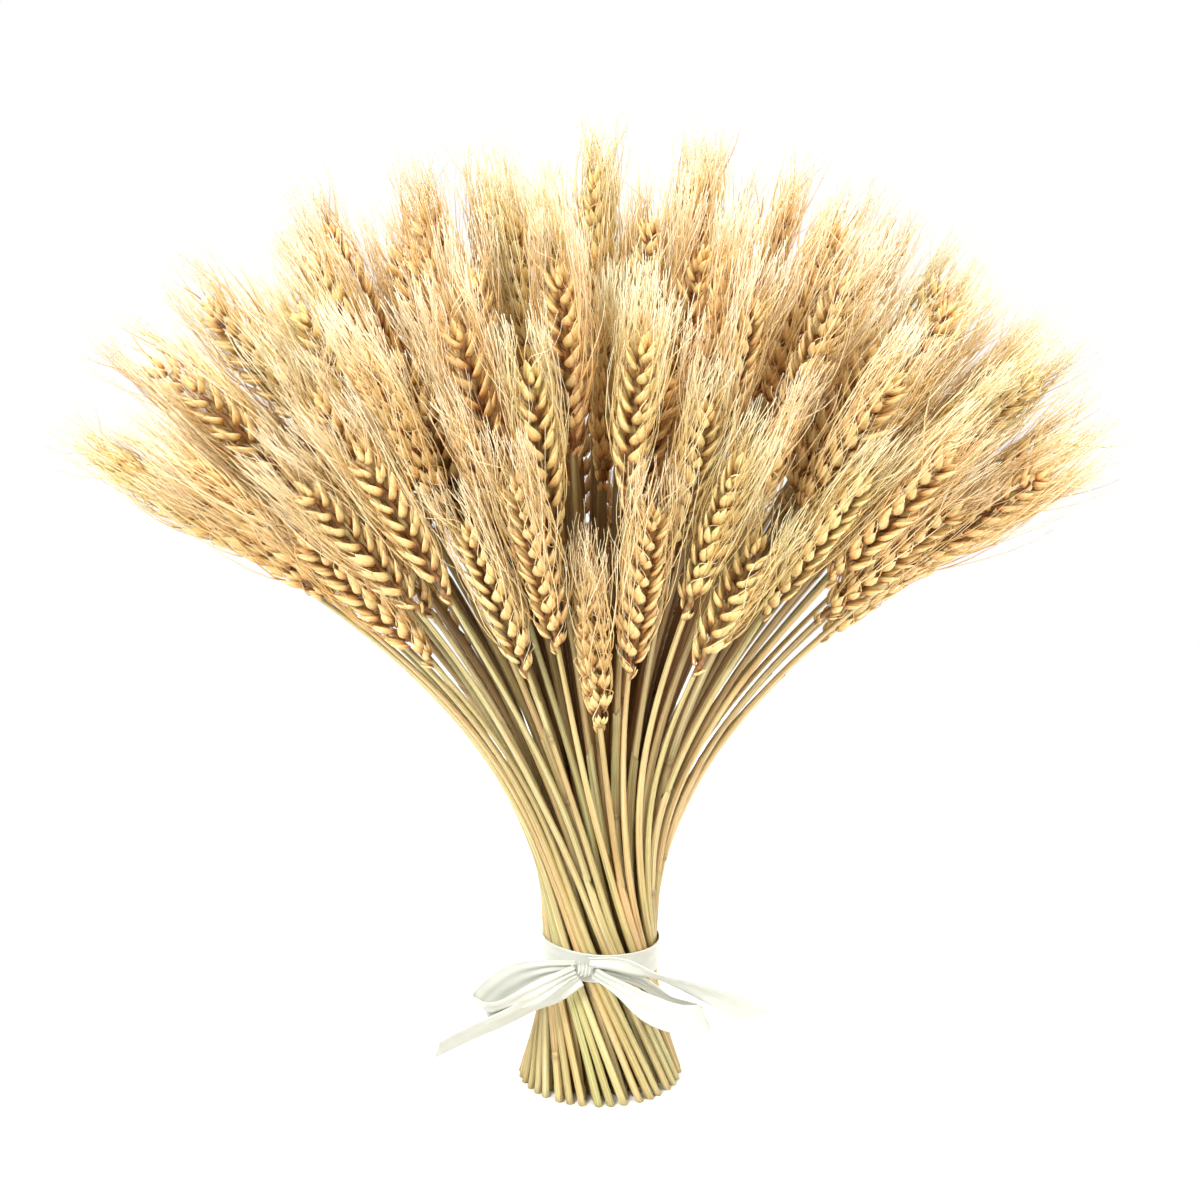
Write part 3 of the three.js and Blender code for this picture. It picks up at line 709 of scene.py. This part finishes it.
def straw_material(name, tint):
    g = Graph(name)
    mark, grain = g.attribute("mark"), g.attribute("grain").outputs["Vector"]
    along, brown, second = g.split(mark.outputs["Color"])[:3]
    stalk = mark.outputs["Alpha"]
    base = g.ramp(stalk, [(0.0, 0xCFC58A), (0.14, 0xE9D6A0), (0.27, 0xC2C28C), (0.4, 0xE0BE8C),
                          (0.52, 0xF0E2B4), (0.64, 0xC9A56C), (0.76, 0xD3D09A), (0.88, 0xEBCF96),
                          (1.0, 0xD2AC7A)])
    patch = g.noise(grain, 1.0, 3, 0.6, (0.35, 0.35, 0.03))
    other = g.ramp(second, [(0.0, 0xE6BE90), (0.35, 0xC4C48A), (0.7, 0xEFDCA8), (1.0, 0xCBA070)])
    base = g.mixed(base, other, g.ramp(patch, [(0.38, 0.0), (0.6, 0.85)]))
    lower = g.ramp(along, [(0.0, 0.35), (0.3, 0.1), (0.7, 0.0), (1.0, 0.3)])
    base = g.mixed(base, rgb(0xD0CC92), lower)
    fine = g.noise(grain, 1.0, 3, 0.65, (1.9, 1.9, 0.014))
    streaks = g.ramp(fine, [(0.32, 0x8A6030), (0.46, 0xE4CFA0), (0.58, 0xFFFFFF)])
    base = g.mixed(base, streaks, 0.75, "MULTIPLY")
    spots = g.noise(grain, 1.0, 4, 0.7, (1.2, 1.2, 0.2))
    base = g.mixed(base, rgb(0x94683C), g.ramp(spots, [(0.64, 0.0), (0.76, 0.5)]))
    base = g.mixed(base, rgb(0x7A522C), g.times(brown, 0.6))
    # Painted shade: stems far within the bunch are darkened to brown, and their reflections and coat are
    # dimmed there.
    painted_inner_shade = g.attribute("painted_shade").outputs["Fac"]
    base = g.mixed(base, rgb(0x8A5A24), g.times(painted_inner_shade, 0.85), "MULTIPLY")
    base = g.mixed(base, tint, 1.0, "MULTIPLY")
    g.set(Base_Color=base, Roughness=g.ramp(fine, [(0.3, 0.52), (0.7, 0.34)]))
    g.set(Specular_IOR_Level=g.ramp(painted_inner_shade, [(0.0, 0.55), (0.8, 0.2)]))
    g.set(Coat_Weight=g.ramp(painted_inner_shade, [(0.0, 0.15), (0.5, 0.0)]))
    g.shader.inputs["Coat Roughness"].default_value = 0.3
    g.set(Normal=g.bump(fine, 0.6, 0.0003))
    return g.material


def chaff_material(name, tint):
    g = Graph(name)
    mark, grain = g.attribute("mark"), g.attribute("grain").outputs["Vector"]
    along, edge, husk = g.split(mark.outputs["Color"])[:3]
    stalk = mark.outputs["Alpha"]
    ear = g.ramp(stalk, [(0.0, 0xEBD09A), (0.18, 0xF2DFB2), (0.34, 0xE4C88E), (0.5, 0xEEDDA8),
                         (0.62, 0xD6C98F), (0.74, 0xF3D8A2), (0.88, 0xE5BE82), (0.96, 0xBFA472),
                         (1.0, 0xEFDDAE)])
    own = g.ramp(husk, [(0.0, 0xC4904E), (0.12, 0xE2B672), (0.35, 0xF4DDA2), (0.6, 0xFBEEC4),
                        (0.8, 0xEFC684), (0.92, 0xD2CB90), (1.0, 0xB8864C)])
    base = g.mixed(ear, own, 0.5)
    pale = g.ramp(edge, [(0.55, 0.0), (0.95, 0.45)])
    base = g.mixed(base, rgb(0xFFF6DA), pale)
    base = g.mixed(base, rgb(0xFFF8E2), g.ramp(along, [(0.6, 0.0), (0.95, 0.7)]))
    # Painted shade: each husk's base, which sits in the gaps between husks, is darkened to a deep brown; the
    # rachis gets the same.
    shade = g.ramp(along, [(0.0, 0x5E3616), (0.14, 0x96602E), (0.3, 0xDCB984), (0.52, 0xFBF0CE),
                           (0.85, 0xFFFBEA)])
    base = g.mixed(base, shade, 0.9, "MULTIPLY")
    nerves = g.noise(grain, 1.0, 3, 0.6, (2.5, 2.5, 0.13))
    lines = g.ramp(nerves, [(0.34, 0xA8773E), (0.5, 0xF4E4C0), (0.62, 0xFFFFFF)])
    base = g.mixed(base, lines, 0.8, "MULTIPLY")
    stain = g.noise(grain, 1.0, 3, 0.6, (0.5, 0.5, 0.35))
    base = g.mixed(base, rgb(0xE09450), g.ramp(stain, [(0.55, 0.0), (0.7, 0.55)]))
    patch = g.noise(grain, 1.0, 2, 0.5, (0.3, 0.3, 0.12))
    base = g.mixed(base, rgb(0xD0C988), g.ramp(patch, [(0.48, 0.0), (0.64, 0.6)]))
    base = g.mixed(base, rgb(0xF8DFA6), g.ramp(along, [(0.25, 0.0), (0.72, 0.42)]))
    # Painted shade: husks far within the bunch are darkened to orange-brown, with dimmer reflections.
    painted_inner_shade = g.attribute("painted_shade").outputs["Fac"]
    base = g.mixed(base, rgb(0xF09A3C), g.times(painted_inner_shade, 0.55), "MULTIPLY")
    base = g.mixed(base, tint, 1.0, "MULTIPLY")
    g.set(Base_Color=base, Roughness=g.ramp(nerves, [(0.3, 0.5), (0.7, 0.36)]))
    g.shader.inputs["Sheen Weight"].default_value = 0.12
    g.shader.inputs["Sheen Roughness"].default_value = 0.4
    g.set(Specular_IOR_Level=g.ramp(painted_inner_shade, [(0.0, 0.45), (0.8, 0.15)]))
    g.set(Normal=g.bump(nerves, 0.5, 0.0004))
    return g.material


def awn_material(name, tint):
    g = Graph(name)
    mark, grain = g.attribute("mark"), g.attribute("grain").outputs["Vector"]
    along, _, own = g.split(mark.outputs["Color"])[:3]
    base = g.ramp(own, [(0.0, 0xE3C488), (0.25, 0xF7E9BC), (0.62, 0xFEF8DE), (0.86, 0xEACB8C),
                        (1.0, 0xB88C52)])
    shade = g.ramp(along, [(0.0, 0xE2C080), (0.4, 0xFAEECC), (0.75, 0xFFFDF6)])
    base = g.mixed(base, shade, 0.7, "MULTIPLY")
    # The awns' ends are paler: partly their own pale tips, partly painted light that makes them paler high
    # up on the bunch.
    place = g.node("ShaderNodeNewGeometry").outputs["Position"]
    high = g.node("ShaderNodeSeparateXYZ", {0: place}).outputs["Z"]
    to_tip, painted_top_light = g.ramp(along, [(0.35, 0.0), (0.85, 0.85)]), g.ramp(high, [(0.28, 0.4), (0.35, 1.0)])
    base = g.mixed(base, rgb(0xF4EBD6), g.times(to_tip, painted_top_light))
    fine = g.noise(grain, 1.0, 2, 0.5, (1, 1, 0.06))
    base = g.mixed(base, g.ramp(fine, [(0.35, 0xDCBE90), (0.6, 0xFFFFFF)]), 0.35, "MULTIPLY")
    # Painted shade: awns far within the bunch are darkened to orange.
    painted_shade = g.times(g.attribute("painted_shade").outputs["Fac"], 0.6)
    base = g.mixed(base, rgb(0xF6A84E), painted_shade, "MULTIPLY")
    base = g.mixed(base, tint, 1.0, "MULTIPLY")
    g.set(Base_Color=base, Roughness=g.ramp(fine, [(0.3, 0.5), (0.7, 0.38)]))
    g.set(Normal=g.bump(fine, 0.3, 0.0002))
    return g.material


def satin_material():
    g = Graph("satin_ivory")
    mark, grain = g.attribute("mark"), g.attribute("grain").outputs["Vector"]
    edge = g.split(mark.outputs["Color"])[1]
    threads = g.noise(grain, 1.0, 2, 0.5, (14, 14, 0.25))
    soft = g.noise(grain, 1.0, 2, 0.5, (0.25, 0.25, 0.08))
    base = g.ramp(soft, [(0.3, 0xBFC3BD), (0.7, 0xCACDC7)])
    base = g.mixed(base, g.ramp(threads, [(0.3, 0xEEEEE6), (0.7, 0xFFFFFF)]), 0.5, "MULTIPLY")
    base = g.mixed(base, rgb(0xD9DDD5), edge)
    g.set(Base_Color=base, Roughness=g.ramp(threads, [(0.3, 0.42), (0.7, 0.3)]))
    g.shader.inputs["Sheen Weight"].default_value = 0.35
    g.shader.inputs["Sheen Roughness"].default_value = 0.35
    g.shader.inputs["Anisotropic"].default_value = 0.4
    g.set(Normal=g.bump(threads, 0.25, 0.00015))
    return g.material


# ---- The ribbon ----

RIBBON_WIDTH = 12.7
RIBBON_HALF = 0.13  # half its thickness
GATHERED = 5.2  # its width at the knot
ACROSS = 25  # points across it
KNOT_MIDDLE = np.array([-6.4, -29.1, 60.4])
KNOT_ROUND = 15.3  # the length that goes round the bow
# Places on each middle line, and, as rolls, angles at shares along it
LOOP_LEFT = [
    [-10.4, -28.4, 61.2], [-23, -28.9, 60.3], [-36, -29.4, 56.6], [-45, -31, 51], [-50, -34.6, 46.2],
    [-47, -38.2, 45.6], [-38, -39.3, 48.6], [-27, -38, 53.4], [-17, -34.6, 58.4], [-10.4, -31.2, 60.6],
]
LOOP_RIGHT = [
    [-2.4, -28.4, 60.2], [5, -29.2, 58.8], [17, -30, 55.2], [29, -31, 47.4], [39, -33, 43.8],
    [44.6, -36.2, 42.2], [41, -39.4, 41.8], [31, -40.4, 43], [20, -39.4, 47.4], [9.5, -36, 53.6],
    [-2.4, -31.4, 59.6],
]
TAIL_LEFT = [
    [-8, -30, 55.6], [-16, -31.4, 51.2], [-27, -33.2, 47.2], [-42, -35.4, 40], [-55, -36, 34],
    [-69, -35.6, 26.6],
]
TAIL_RIGHT = [
    [-4.6, -31.6, 64.4], [8, -36.4, 65.4], [23, -39, 61.8], [42, -39, 55], [56, -37.6, 48.4],
    [65, -36, 42],
]
LOOP_LEFT_ROLLS = [
    (0, 0), (0.2, 0), (0.36, -0.15), (0.5, -0.5), (0.62, -0.8), (0.7, -0.6), (0.82, -0.1), (1, 0),
]
LOOP_RIGHT_ROLLS = [(0, -0.2), (0.12, -0.7), (0.3, -0.95), (0.42, -0.7), (0.52, -0.25), (0.65, -0.1), (1, 0)]
TAIL_LEFT_ROLLS = [(0, 0), (0.3, 0.7), (1, 0.8)]
TAIL_RIGHT_ROLLS = [(0, -0.1), (0.2, -0.45), (0.38, -1.0), (0.52, -0.9), (0.75, -0.55), (1, -0.35)]
BAND_RADIUS = 25.6
BAND_TILT = math.radians(2.8)


def smooth_line(places, count):
    """Evenly spaced points on a smooth curve through these places, and its length."""
    p = np.array(places, float)
    p = np.concatenate([[2 * p[0] - p[1]], p, [2 * p[-1] - p[-2]]])
    knots = np.concatenate([[0], np.cumsum(np.sqrt(np.linalg.norm(np.diff(p, axis=0), axis=1)))])
    fine = []
    for k in range(1, len(p) - 2):
        t0, t1, t2, t3 = knots[k - 1 : k + 3]
        t = np.linspace(t1, t2, 60, endpoint=k == len(p) - 3)[:, None]
        a1 = (t1 - t) / (t1 - t0) * p[k - 1] + (t - t0) / (t1 - t0) * p[k]
        a2 = (t2 - t) / (t2 - t1) * p[k] + (t - t1) / (t2 - t1) * p[k + 1]
        a3 = (t3 - t) / (t3 - t2) * p[k + 1] + (t - t2) / (t3 - t2) * p[k + 2]
        b1 = (t2 - t) / (t2 - t0) * a1 + (t - t0) / (t2 - t0) * a2
        b2 = (t3 - t) / (t3 - t1) * a2 + (t - t1) / (t3 - t1) * a3
        fine.append((t2 - t) / (t2 - t1) * b1 + (t - t1) / (t2 - t1) * b2)
    fine = np.concatenate(fine)
    far = np.concatenate([[0], np.cumsum(np.linalg.norm(np.diff(fine, axis=0), axis=1))])
    even = np.linspace(0, far[-1], count)
    return np.stack([np.interp(even, far, fine[:, k]) for k in range(3)], 1), far[-1]


def ribbon_surface(line, width, roll, fold, folds, phase, cut=0.0):
    """The middle surface of a ribbon: rows of points across it, along a line."""
    along = unit(np.gradient(line, axis=0))
    up = unit(np.array([0, 0, 1.0]) - along * along[:, 2:3])
    face = np.cross(along, up)
    c, s = np.cos(roll)[:, None], np.sin(roll)[:, None]
    up, face = up * c - face * s, face * c + up * s
    v = np.linspace(-0.5, 0.5, ACROSS)
    wave = np.sin(2 * math.pi * folds * v[None] + phase[:, None]) * fold[:, None]
    slide = cut * v[None] * smooth(np.linspace(0, 1, len(line)), 0.8, 1.0)[:, None]
    grid = line[:, None] + up[:, None] * (v[None] * width[:, None])[..., None]
    return grid + face[:, None] * wave[..., None] + along[:, None] * slide[..., None]


def cloth(name, grid, length, closed=False):
    """A thin closed sheet round a grid of points, thicker along its two woven edges."""
    rows, cols = grid.shape[:2]
    if closed:
        du = np.roll(grid, -1, 0) - np.roll(grid, 1, 0)
    else:
        du = np.gradient(grid, axis=0)
    dv = np.gradient(grid, axis=1)
    normal = unit(np.cross(du, dv))
    v = np.linspace(-1, 1, cols)
    edge = smooth(np.abs(v), 0.9, 0.97)
    half = (RIBBON_HALF * (1 + 0.5 * edge))[None, :, None]
    front, back = grid + normal * half, grid - normal * half
    section = np.concatenate([front, back[:, ::-1]], 1)
    around = section.shape[1]
    top = (rows - 1) * around
    if closed:
        a = np.arange(around)
        b = (a + 1) % around
        ends = [np.stack([top + a, top + b, b, a], 1)]
    else:
        a = np.arange(cols - 1)
        b = around - 1 - a
        ends = [np.stack([a, b, b - 1, a + 1], 1), top + np.stack([a + 1, b - 1, b, a], 1)]
    faces = np.concatenate([strip_faces(rows, around), *ends])
    grain = np.zeros(section.shape)
    both = np.concatenate([v, v[::-1]])
    grain[..., 0] = both[None] * RIBBON_WIDTH / 2
    grain[..., 2] = np.linspace(0, length, rows)[:, None]
    mark = marks(section.shape[:2], 0, np.concatenate([edge, edge[::-1]]), 0, 0)
    mesh = Mesh()
    mesh.add(section, faces[:, ::-1], None, 0, grain, mark)
    return mesh.object(name, [SATIN])


def rolled(t, rolls):
    """How far a ribbon is rolled about its line at each place, from a few angles along it."""
    places, angles = zip(*rolls)
    past_ends = np.linspace(-0.1, 1.1, 121)
    rough = np.interp(past_ends, places, angles)
    soft = np.convolve(rough, np.hanning(17) / np.hanning(17).sum(), "same")
    return np.interp(t, past_ends, soft)


def loop_piece(name, places, rolls, phase):
    line, length = smooth_line(places, 110)
    t = np.linspace(0, 1, len(line))
    near = np.minimum(t, 1 - t)
    width = mix(GATHERED, RIBBON_WIDTH, smooth(near, 0.02, 0.3))
    fold = mix(0.75, 0.14, smooth(near, 0.0, 0.34))
    grid = ribbon_surface(line, width, rolled(t, rolls), fold, 2.6, phase + t * 3)
    return cloth(name, grid, length), length


def tail_piece(name, places, rolls, phase, cut):
    line, length = smooth_line(places, 90)
    t = np.linspace(0, 1, len(line))
    width = mix(GATHERED, RIBBON_WIDTH, smooth(t, 0.0, 0.32))
    fold = mix(0.7, 0.1, smooth(t, 0.0, 0.5)) + 0.3 * np.sin(math.pi * t) ** 2
    grid = ribbon_surface(line, width, rolled(t, rolls), fold, 1.4, phase + t * 4, cut=cut)
    return cloth(name, grid, length), length


def band_piece(name):
    turns = turns_of(144)
    v = np.linspace(-0.5, 0.5, ACROSS)
    wave = 0.16 * np.sin(2 * math.pi * 1.5 * v[None] + 2.2 * np.sin(turns * 3)[:, None])
    radius = BAND_RADIUS + wave
    x, y = radius * np.cos(turns)[:, None], radius * np.sin(turns)[:, None]
    z = v[None] * RIBBON_WIDTH + 0 * x
    c, s = math.cos(BAND_TILT), math.sin(BAND_TILT)
    grid = np.stack([x * c + z * s, y, z * c - x * s + TIE_HEIGHT], 2)
    length = 2 * math.pi * BAND_RADIUS
    return cloth(name, grid, length, closed=True), length


def knot_piece(name):
    """The short length of ribbon that is gathered round the middle of the bow."""
    turns = turns_of(40)
    v = np.linspace(-0.5, 0.5, 41)
    bulge = 1 - 1.1 * v**2
    folds = 0.44 * np.sin(2 * math.pi * 4 * v[None] + 0.9 * np.sin(turns + 1)[:, None])
    x = v[None] * 6.3 + 0 * turns[:, None]
    y = (2.1 * bulge[None] + folds) * np.cos(turns)[:, None]
    z = (2.75 * bulge[None] + folds) * np.sin(turns)[:, None]
    grid = np.stack([x + 0.25 * z, y, z], 2) + KNOT_MIDDLE
    return cloth(name, grid, KNOT_ROUND, closed=True), KNOT_ROUND


# ---- The scene ----

STRAW_SHADE = (0.81, 0.83, 0.86, 1)
FLOOR_FADE = (0.3, 0.85)  # metres from the middle over which the floor fades out
LOW_LIGHT, HIGH_LIGHT = 0.32, 0.72  # of the studio, from below and from above
STUDIO = (1.0, 0.93, 0.82, 1)  # its warm walls
LIT_PLACE = (0, 0, 0.22)
SENSOR = 36
SEEN = 0.504  # the width of the view, at a distance of one


def add_wheat():
    tints = {
        "straw_gold": (1.0, 0.985, 0.95, 1),
        "straw_green": (0.96, 1.0, 0.93, 1),
        "straw_tan": (1.0, 0.945, 0.89, 1),
        "straw_pale": (1.0, 1.0, 1.0, 1),
    }
    looks = {}
    for slot, tint in tints.items():
        looks[slot] = [
            straw_material("stem_" + slot, [a * b for a, b in zip(STRAW_SHADE, tint)]),
            chaff_material("chaff_" + slot, tint),
            awn_material("awn_" + slot, tint),
        ]
    number = node = 0
    for ring, count in enumerate(RING_COUNTS):
        for first in range(0, count, GROUP_COUNTS[ring]):
            mesh = Mesh()
            for k in range(GROUP_COUNTS[ring]):
                stalk = Stalk(number, ring, first + k)
                number += 1
                add_stem(mesh, stalk)
                add_ear(mesh, stalk)
            node += 1
            slot = SLOTS[node % 4]
            piece = mesh.object(f"wheat_{node:02d}", looks[slot])
            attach(piece, "root")
            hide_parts(f"stalks_{node:02d}")


def add_ribbon():
    pieces = []
    in_knot = "gathered", ["bow_knot_satin"]
    for node, held, on, make, *numbers in (
        ("ribbon_band", "folded", ["wheat_40"], band_piece),
        ("bow_knot", "gathered", ["ribbon_band_satin"], knot_piece),
        ("bow_loop_left", *in_knot, loop_piece, LOOP_LEFT, LOOP_LEFT_ROLLS, 0.4),
        ("bow_loop_right", *in_knot, loop_piece, LOOP_RIGHT, LOOP_RIGHT_ROLLS, 2.0),
        ("bow_tail_left", *in_knot, tail_piece, TAIL_LEFT, TAIL_LEFT_ROLLS, 1.0, -9.0),
        ("bow_tail_right", *in_knot, tail_piece, TAIL_RIGHT, TAIL_RIGHT_ROLLS, 2.6, 9.0),
    ):
        piece, length = make(node + "_satin", *numbers)
        pieces.append((piece, node, (RIBBON_WIDTH, length), held, on))
    for piece, node, flat, held, on in pieces:
        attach(piece, "root")
        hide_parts(node)


def add_light(name, place, size, power, colour=(1, 1, 1)):
    data = bpy.data.lights.new(name, "AREA")
    data.energy, data.size, data.color = power, size, colour
    lamp = bpy.data.objects.new(name, data)
    bpy.context.scene.collection.objects.link(lamp)
    lamp.location = place
    x, y, z = np.array(LIT_PLACE) - np.array(place)
    lamp.rotation_euler = (math.atan2(math.hypot(x, y), -z), 0, math.atan2(x, -y) + math.pi)


def add_floor():
    """A pale floor under the bundle, which fades into the white all round."""
    g = Graph("pale_floor")
    place = g.node("ShaderNodeTexCoord").outputs["Object"]
    cloud = g.noise(place, 3.0, 2)
    g.set(Base_Color=g.ramp(cloud, [(0.3, 0xF6F6F5), (0.7, 0xFAFAF9)]), Roughness=0.95)
    g.shader.inputs["Specular IOR Level"].default_value = 0.1
    far = g.node("ShaderNodeVectorMath", {0: place}, operation="LENGTH").outputs["Value"]
    clear = g.node("ShaderNodeBsdfTransparent").outputs[0]
    faded = g.ramp(far, [(FLOOR_FADE[0], 0.0), (FLOOR_FADE[1], 1.0)], "EASE")
    fade = g.node("ShaderNodeMixShader", {0: faded})
    g.feed(fade.inputs[1], g.shader.outputs[0])
    g.feed(fade.inputs[2], clear)
    g.feed(g.tree.nodes["Material Output"].inputs["Surface"], fade.outputs[0])
    mesh = bpy.data.meshes.new("floor")
    ring = [(math.cos(a), math.sin(a), -0.0003) for a in turns_of(64)]
    mesh.from_pydata(ring, [], [tuple(range(len(ring)))])
    mesh.materials.append(g.material)
    floor = bpy.data.objects.new("floor", mesh)
    bpy.context.scene.collection.objects.link(floor)


def add_world():
    """White to look at, and a softer light, brighter from above, to be lit by."""
    world = bpy.data.worlds.new("studio")
    world.use_nodes = True
    nodes, links = world.node_tree.nodes, world.node_tree.links
    way = nodes.new("ShaderNodeSeparateXYZ")
    links.new(nodes.new("ShaderNodeTexCoord").outputs["Generated"], way.inputs[0])
    ramp = nodes.new("ShaderNodeMapRange")
    links.new(way.outputs["Z"], ramp.inputs["Value"])
    for key, value in (("From Min", -0.6), ("From Max", 0.9), ("To Min", LOW_LIGHT), ("To Max", HIGH_LIGHT)):
        ramp.inputs[key].default_value = value
    looked = nodes.new("ShaderNodeLightPath").outputs["Is Camera Ray"]
    seen = nodes.new("ShaderNodeMath")
    seen.operation = "MAXIMUM"
    links.new(looked, seen.inputs[0])
    links.new(ramp.outputs[0], seen.inputs[1])
    tone = nodes.new("ShaderNodeMix")
    tone.data_type = "RGBA"
    links.new(looked, tone.inputs[0])
    tone.inputs[6].default_value = STUDIO
    tone.inputs[7].default_value = (1, 1, 1, 1)
    links.new(tone.outputs[2], nodes["Background"].inputs[0])
    links.new(seen.outputs[0], nodes["Background"].inputs[1])
    bpy.context.scene.world = world


def add_stage():
    add_floor()
    add_world()
    add_light("key", (-1.0, -1.5, 1.5), 0.7, 52)
    add_light("fill", (1.3, -1.2, 1.0), 1.4, 23, (1.0, 0.93, 0.84))
    add_light("top", (0.15, 0.35, 1.9), 0.8, 54)
    bpy.context.scene.view_settings.view_transform = "Standard"


def add_camera():
    data = bpy.data.cameras.new("camera")
    data.sensor_width, data.lens = SENSOR, SENSOR / SEEN
    camera = bpy.data.objects.new("camera", data)
    bpy.context.scene.collection.objects.link(camera)
    camera.location = (0, -0.9703, 0.4563)
    camera.rotation_euler = (math.radians(76), 0, 0)
    bpy.context.scene.camera = camera


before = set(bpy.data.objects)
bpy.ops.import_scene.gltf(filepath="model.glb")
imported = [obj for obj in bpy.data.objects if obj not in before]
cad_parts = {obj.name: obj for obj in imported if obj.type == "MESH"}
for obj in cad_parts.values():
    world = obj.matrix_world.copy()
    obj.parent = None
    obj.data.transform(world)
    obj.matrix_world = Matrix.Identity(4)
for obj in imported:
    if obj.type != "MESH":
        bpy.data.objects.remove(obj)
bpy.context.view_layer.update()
SATIN = satin_material()
add_camera()
add_wheat()
add_ribbon()
add_stage()
